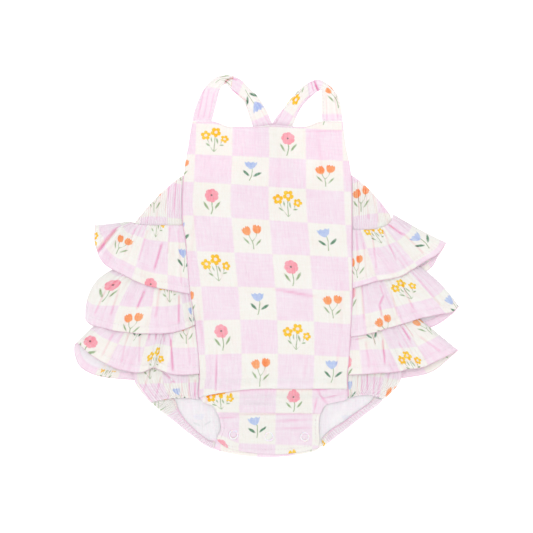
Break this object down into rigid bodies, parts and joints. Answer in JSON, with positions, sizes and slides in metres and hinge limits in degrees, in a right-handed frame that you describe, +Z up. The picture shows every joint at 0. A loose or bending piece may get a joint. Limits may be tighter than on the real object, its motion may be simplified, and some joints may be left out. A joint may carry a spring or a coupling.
{
  "type": "baby romper",
  "caption": "Sleeveless baby romper laid flat, bib front, crossed shoulder straps, ruffle tiers round the body and a crotch that snaps shut.",
  "frame": {"origin": "on the surface that the garment lies on, under the middle of its outline", "axes": "+X to the right of the laid-out garment as it is seen from above, +Y towards the neck, +Z up from the surface"},
  "size_m": [0.4048, 0.4023, 0.0118],
  "materials": {
    "printed_muslin": "crinkled double gauze with a pink and cream checked print and small flowers, pale on its inner side",
    "snap": "milky white ring snap"
  },
  "bodies": {
    "root": {"back_panel": "printed_muslin", "front_panel": "printed_muslin", "side_left": "printed_muslin", "side_right": "printed_muslin", "tier_1": "printed_muslin", "tier_2": "printed_muslin", "tier_3": "printed_muslin", "strap_left": "printed_muslin", "strap_right": "printed_muslin", "leg_casing_left": "printed_muslin", "leg_casing_right": "printed_muslin", "snap_1": "snap", "snap_2": "snap", "snap_3": "snap"}
  },
  "joints": []
}
